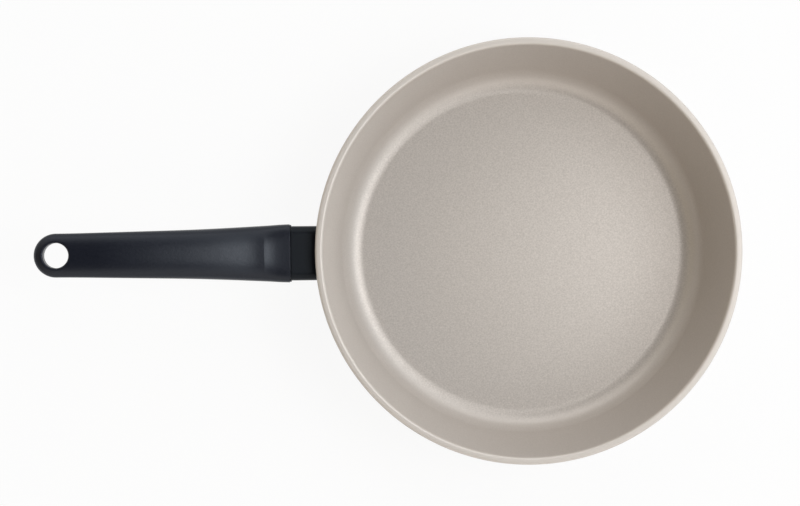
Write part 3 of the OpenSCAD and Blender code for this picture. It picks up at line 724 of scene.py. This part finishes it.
# Materials, all procedural and in real scale through object coordinates, which are metres
class Recipe:
    """A material with its shader and short names for adding nodes."""

    def __init__(self, name, base, metallic=0.0, roughness=0.5):
        self.material = bpy.data.materials.new(name)
        self.material.use_nodes = True
        self.tree = self.material.node_tree
        self.shader = self.tree.nodes["Principled BSDF"]
        self.set("Base Color", (*base, 1))
        self.set("Metallic", metallic)
        self.set("Roughness", roughness)
        self.place = self.add("ShaderNodeTexCoord").outputs["Object"]

    def set(self, socket, value):
        """Sets a value on the shader's own socket."""
        self.shader.inputs[socket].default_value = value

    def link(self, output, socket):
        """Drives the shader's own socket by an output."""
        self.tree.links.new(output, self.shader.inputs[socket])

    def add(self, kind, inputs=None, **settings):
        """A node in the material's tree."""
        return add_node(self.tree, kind, inputs, **settings)

    def maths(self, operation, a, b):
        """The result of a sum, product or the like."""
        return self.add("ShaderNodeMath", {0: a, 1: b}, operation=operation).outputs[0]

    def noise(self, size_mm, detail=2.0, stretch=None):
        """Grain of about the given size in millimetres, 0.5 on average."""
        place = self.place
        if stretch:
            place = self.add("ShaderNodeVectorMath", {0: place, 1: stretch},
                             operation="MULTIPLY").outputs[0]
        inputs = {"Vector": place, "Scale": 1 / MM / size_mm, "Detail": detail}
        return self.add("ShaderNodeTexNoise", inputs, noise_dimensions="3D").outputs[0]

    def spread(self, value, low, high, to_low, to_high):
        """A range mapped to another and held at its ends."""
        return self.add("ShaderNodeMapRange", {0: value, 1: low, 2: high, 3: to_low, 4: to_high}).outputs[0]

    def tint(self, factor, dark, light):
        """A colour between two others, driven by a factor from 0 to 1."""
        mix = self.add("ShaderNodeMix", {0: factor, 6: (*dark, 1), 7: (*light, 1)}, data_type="RGBA")
        self.link(mix.outputs[2], "Base Color")

    def relief(self, height, depth_mm, edge_mm=0.0, strength=1.0):
        """Relief of a given depth, over edges rounded by edge_mm."""
        inputs = {"Height": height, "Distance": depth_mm * MM, "Strength": strength}
        if edge_mm:
            bevel = self.add("ShaderNodeBevel", {"Radius": edge_mm * MM}, samples=6)
            inputs["Normal"] = bevel.outputs[0]
        self.link(self.add("ShaderNodeBump", inputs).outputs[0], "Normal")


# Heights in millimetres over which the floor's grain fades into the wall's, and the wall into the rim,
# which is painted lighter as a painted sheen for the light it catches and is a little rougher. GRAIN_SPAN
# is the range that holds nearly all values of a noise
FLOOR_FADE = (BASE_T + 0.2, BASE_T + 3.0)
RIM_FADE = (PAN_H - 2.5, PAN_H - 0.5)
GRAIN_SPAN = (0.3, 0.7)


def pan_coating():
    """Satin ceramic coating with fine pearly grains, coarser on the cooking floor, and a rim painted
    lighter as a painted sheen.
    """
    made = Recipe("pan_coating_look", (0.56, 0.515, 0.475), 0.30, 0.40)
    height = made.add("ShaderNodeSeparateXYZ", {0: made.place}).outputs[2]
    on_floor = made.spread(height, FLOOR_FADE[0] * MM, FLOOR_FADE[1] * MM, 1.0, 0.3)
    coarse = made.noise(1.15, 1.5)
    fine = made.noise(0.55, 1.0)
    grain = made.maths("ADD", made.maths("MULTIPLY", coarse, 0.6), made.maths("MULTIPLY", fine, 0.4))
    swing = made.maths("MULTIPLY", made.maths("SUBTRACT", grain, 0.5), on_floor)
    # The rim's mask paints the rim lighter, a painted sheen for the light it catches, and also makes it a
    # little rougher
    on_rim = made.spread(height, RIM_FADE[0] * MM, RIM_FADE[1] * MM, 0.0, 0.85)
    # The tint's factor: the grain's random tone plus the rim's painted sheen
    tone_and_rim_sheen = made.maths("ADD", made.maths("ADD", made.maths("MULTIPLY", swing, 2.2), 0.5), on_rim)
    made.tint(tone_and_rim_sheen, (0.46, 0.42, 0.385), (0.66, 0.61, 0.565))
    satin = made.maths("ADD", made.spread(grain, *GRAIN_SPAN, 0.44, 0.36),
                       made.maths("MULTIPLY", on_rim, 0.12))
    made.link(satin, "Roughness")
    made.relief(made.maths("MULTIPLY", grain, on_floor), 0.06, 0.25, 0.35)
    return made.material


def handle_plastic():
    """Dark phenolic with a slightly soft, finely grained skin."""
    made = Recipe("handle_plastic_look", (0.007, 0.009, 0.014), 0.0, 0.35)
    fine = made.noise(0.32, 2.0)
    coarse = made.noise(1.4, 2.0)
    grain = made.maths("ADD", made.maths("MULTIPLY", coarse, 0.75), made.maths("MULTIPLY", fine, 0.25))
    cloud = made.noise(14.0, 2.0)
    made.tint(cloud, (0.0064, 0.0074, 0.0128), (0.0076, 0.0088, 0.0152))
    made.link(made.spread(grain, *GRAIN_SPAN, 0.30, 0.40), "Roughness")
    made.set("Specular IOR Level", 0.38)
    made.set("Specular Tint", (0.86, 0.92, 1.0, 1))
    made.relief(grain, 0.085, 0.12, 0.8)
    return made.material


def guard_enamel():
    """Baked black enamel with a faint orange peel."""
    made = Recipe("guard_enamel_look", (0.006, 0.007, 0.010), 0.0, 0.36)
    peel = made.noise(1.6, 2.0)
    made.link(made.spread(peel, *GRAIN_SPAN, 0.33, 0.39), "Roughness")
    made.relief(peel, 0.012, 0.15, 0.4)
    made.set("Specular IOR Level", 0.17)
    made.set("Specular Tint", (0.86, 0.95, 1.0, 1))
    return made.material


def turned_steel():
    """Stainless steel turned on a lathe, with fine rings round the middle of the disc."""
    made = Recipe("disc_steel_look", (0.60, 0.605, 0.61), 1.0, 0.30)
    rings = made.add("ShaderNodeTexWave", {"Vector": made.place, "Scale": 780.0, "Distortion": 0.4,
                                           "Detail": 2.0, "Detail Scale": 3.0},
                     wave_type="RINGS", rings_direction="Z", wave_profile="SIN").outputs[1]
    cloud = made.noise(9.0, 3.0)
    made.tint(cloud, (0.54, 0.545, 0.55), (0.66, 0.665, 0.67))
    made.link(made.spread(rings, 0.0, 1.0, 0.26, 0.36), "Roughness")
    made.set("Anisotropic", 0.5)
    made.relief(rings, 0.012, 0.1, 0.4)
    return made.material


def brushed_steel(name, base, roughness, stretch, edge_mm):
    """Steel with fine scratches, longer along one axis."""
    made = Recipe(name, base, 1.0, roughness)
    scratches = made.noise(0.35, 3.0, stretch)
    cloud = made.noise(5.0, 2.0)
    made.tint(cloud, tuple(0.92 * c for c in base), tuple(min(1.0, 1.08 * c) for c in base))
    made.link(made.spread(scratches, *GRAIN_SPAN, roughness - 0.06, roughness + 0.08), "Roughness")
    made.relief(scratches, 0.008, edge_mm, 0.4)
    return made.material


# The pieces
coating, plastic, enamel = pan_coating(), handle_plastic(), guard_enamel()
zinc = brushed_steel("screw_steel_look", (0.50, 0.505, 0.52), 0.34, (1, 1, 1), 0.2)
finish_piece(build_pan_body(), "pan_body_cast", "pan_body", coating)
finish_piece(build_handle_upper(), "handle_upper_shell", "handle_upper", plastic)
finish_piece(build_handle_lower(), "handle_lower_shell", "handle_lower", plastic)
looks = {
    "induction_disc": turned_steel(),
    "handle_bracket": brushed_steel("bracket_steel_look", (0.55, 0.555, 0.565), 0.30, (0.12, 1, 1), 0.3),
    "flame_guard": enamel,
    "clamp_insert": brushed_steel("insert_brass_look", (0.66, 0.50, 0.22), 0.28, (1, 1, 0.2), 0.15),
}
for name in ("bracket_screw_left", "bracket_screw_right", "lock_washer_left", "lock_washer_right",
             "clamp_screw", "clamp_washer", "tail_screw"):
    looks[name] = zinc
for name, look in looks.items():
    nodes[name].data.materials.clear()
    nodes[name].data.materials.append(look)


# Floor, light and camera
FLOOR_REACH = 8.0
PAPER, PAPER_GLOW = 0.92, 0.9


def seen_rays(tree):
    """1 for the camera's rays and for mirrored and refracted ones, 0 for the light that falls on things."""
    path = add_node(tree, "ShaderNodeLightPath")
    seen = path.outputs["Is Camera Ray"]
    for ray in ("Is Glossy Ray", "Is Transmission Ray"):
        most = add_node(tree, "ShaderNodeMath", {0: seen, 1: path.outputs[ray]}, operation="MAXIMUM")
        seen = most.outputs[0]
    return seen


def build_floor():
    """White paper that keeps the object's shadow and is seen nearly white."""
    mesh = bpy.data.meshes.new("floor")
    corners = rectangle((-FLOOR_REACH, -FLOOR_REACH), (FLOOR_REACH, FLOOR_REACH))
    mesh.from_pydata([(x, y, 0) for x, y in corners], [], [(0, 1, 2, 3)])
    made = bpy.data.objects.new("floor", mesh)
    bpy.context.scene.collection.objects.link(made)
    look = bpy.data.materials.new("floor_look")
    look.use_nodes = True
    tree = look.node_tree
    tree.nodes.remove(tree.nodes["Principled BSDF"])
    paper = add_node(tree, "ShaderNodeBsdfDiffuse", {0: (PAPER, PAPER, PAPER, 1)})
    glow = add_node(tree, "ShaderNodeEmission", {0: (1, 1, 1, 1), 1: 1.0})
    share = add_node(tree, "ShaderNodeMath", {0: seen_rays(tree), 1: PAPER_GLOW}, operation="MULTIPLY")
    mix = add_node(tree, "ShaderNodeMixShader",
                   {0: share.outputs[0], 1: paper.outputs[0], 2: glow.outputs[0]})
    tree.links.new(mix.outputs[0], tree.nodes["Material Output"].inputs[0])
    made.data.materials.append(look)


# The room's four sides: axis, sign, tint, and brightness at HEIGHTS, which are heights of the direction
HEIGHTS = (0.0, 0.1, 0.5, 0.66, 0.78, 0.87, 0.94)
SIDES = ((0, 1, (0.96, 1.01, 1.04), (1.0, 1.92, 0.28, 2.58, 2.50, 0.23, 0.0)),
         (0, -1, (1.30, 1.07, 0.64), (1.0, 0.0, 0.17, 0.60, 0.0, 0.0, 0.0)),
         (1, 1, (1.0, 1.0, 1.0), (1.0, 0.0, 2.21, 1.11, 1.17, 0.0, 0.0)),
         (1, -1, (1.05, 1.0, 0.95), (1.0, 0.0, 1.60, 0.68, 1.33, 0.0, 0.0)))
# Heights between which the white behind the object fades into the room
WHITE_TO, WHITE_END = 0.18, 0.26
# Keeps the sides' weights off a division by zero straight up and down
LEAST_LEVEL = 1e-6


def side_glow(tree, height, tint, stops):
    """Colour of one side of the room by height."""
    ramp = add_node(tree, "ShaderNodeValToRGB", {0: height})
    elements = ramp.color_ramp.elements
    while len(elements) < len(stops):
        elements.new(0.5)
    for element, at, glow in zip(elements, HEIGHTS, stops):
        element.position = at
        element.color = (*(glow * part for part in tint), 1)
    return ramp.outputs[0]


def build_world():
    """A room whose walls and panels glow halfway up and whose ceiling is dark, white behind the object."""
    world = bpy.data.worlds.new("studio")
    bpy.context.scene.world = world
    world.use_nodes = True
    tree = world.node_tree

    def maths(operation, a, b):
        return add_node(tree, "ShaderNodeMath", {0: a, 1: b}, operation=operation).outputs[0]

    place = add_node(tree, "ShaderNodeTexCoord").outputs["Generated"]
    split = add_node(tree, "ShaderNodeSeparateXYZ", {0: place}).outputs
    level = maths("ADD", maths("MULTIPLY", split[0], split[0]), maths("MULTIPLY", split[1], split[1]))
    level = maths("MAXIMUM", level, LEAST_LEVEL)
    # Each side weighs as the square of how much a direction faces it, so the four weights add up to 1
    total = None
    for axis, sign, tint, stops in SIDES:
        facing = maths("MAXIMUM", maths("MULTIPLY", split[axis], sign), 0.0)
        weight = maths("DIVIDE", maths("MULTIPLY", facing, facing), level)
        glow = side_glow(tree, split[2], tint, stops)
        side = add_node(tree, "ShaderNodeVectorMath", {0: glow, "Scale": weight}, operation="SCALE")
        if total is not None:
            side = add_node(tree, "ShaderNodeVectorMath", {0: total, 1: side.outputs[0]}, operation="ADD")
        total = side.outputs[0]
    low = add_node(tree, "ShaderNodeMapRange", {0: split[2], 1: WHITE_TO, 2: WHITE_END, 3: 1.0, 4: 0.0})
    white = maths("MULTIPLY", seen_rays(tree), low.outputs[0])
    mix = add_node(tree, "ShaderNodeMix", {0: white, 6: total, 7: (1, 1, 1, 1)}, data_type="RGBA")
    back = tree.nodes["Background"]
    tree.links.new(mix.outputs[2], back.inputs[0])
    back.inputs[1].default_value = 1.0


# Soft boxes over the pan: name, watts, place and size. They all point at AIM
AIM = Vector((0, 0, 0.03))
PANELS = (("key_near", 0.86, (0.30, 0.0, 0.95), (0.3, 0.5)),
          ("key_far", 1.31, (0.42, 0.0, 0.92), (0.3, 0.5)),
          ("key_back", 0.29, (0.40, 0.30, 0.92), (0.3, 0.3)))


def add_panel(name, power_w, place, size):
    """A soft box of the given size that points at the pan."""
    lamp = bpy.data.lights.new(name, "AREA")
    lamp.shape = "RECTANGLE"
    lamp.size, lamp.size_y = size
    lamp.energy = power_w
    made = bpy.data.objects.new(name, lamp)
    made.location = place
    made.rotation_euler = (AIM - Vector(place)).to_track_quat("-Z", "Y").to_euler()
    bpy.context.scene.collection.objects.link(made)


# The camera looks straight down, from the place that the photograph's parallax gives
CAMERA_AT, CAMERA_ROLL = (-0.0861, -0.0005, 1.026), math.radians(-0.57)
SENSOR_MM, LENS_MM = 36.0, 64.7


def add_camera():
    """The photograph's camera."""
    camera = bpy.data.objects.new("camera", bpy.data.cameras.new("camera"))
    bpy.context.scene.collection.objects.link(camera)
    bpy.context.scene.camera = camera
    camera.location = CAMERA_AT
    camera.rotation_euler = (0, 0, CAMERA_ROLL)
    camera.data.sensor_width = SENSOR_MM
    camera.data.lens = LENS_MM
    camera.data.clip_start, camera.data.clip_end = 0.05, 50.0


build_floor()
build_world()
for panel in PANELS:
    add_panel(*panel)
add_camera()
bpy.context.scene.view_settings.view_transform = "Standard"
